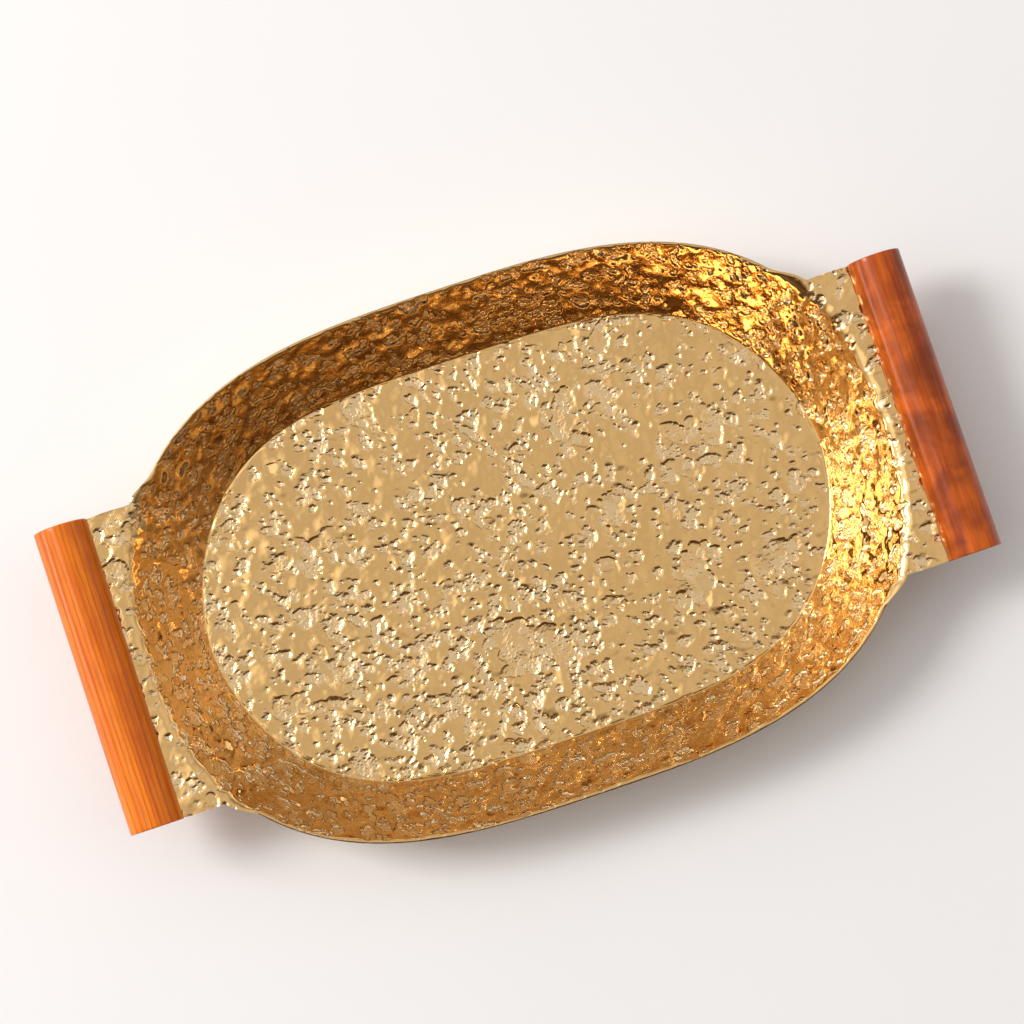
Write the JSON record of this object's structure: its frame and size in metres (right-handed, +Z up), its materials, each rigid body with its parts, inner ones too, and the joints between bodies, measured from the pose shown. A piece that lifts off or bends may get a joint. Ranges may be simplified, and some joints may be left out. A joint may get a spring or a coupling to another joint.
{
  "type": "serving tray",
  "caption": "Deep oval brass serving tray with an all-over cratered relief, flared walls, flat end ears and a slotted wooden dowel handle screwed to each ear.",
  "frame": {"origin": "middle of the tray on the surface that it stands on", "axes": "+X along the tray from the left handle to the right handle, +Y across the tray towards its rear long side, +Z up"},
  "size_m": [0.43, 0.25, 0.0575],
  "materials": {
    "brass": "polished, embossed all over with bumps and craters",
    "stained_wood": "reddish-brown stain under satin varnish",
    "zinc": "zinc-plated"
  },
  "bodies": {
    "root": {"tray_sheet": "brass", "left_handle": "stained_wood", "right_handle": "stained_wood", "left_front_screw": "zinc", "left_rear_screw": "zinc", "right_front_screw": "zinc", "right_rear_screw": "zinc"}
  },
  "joints": []
}
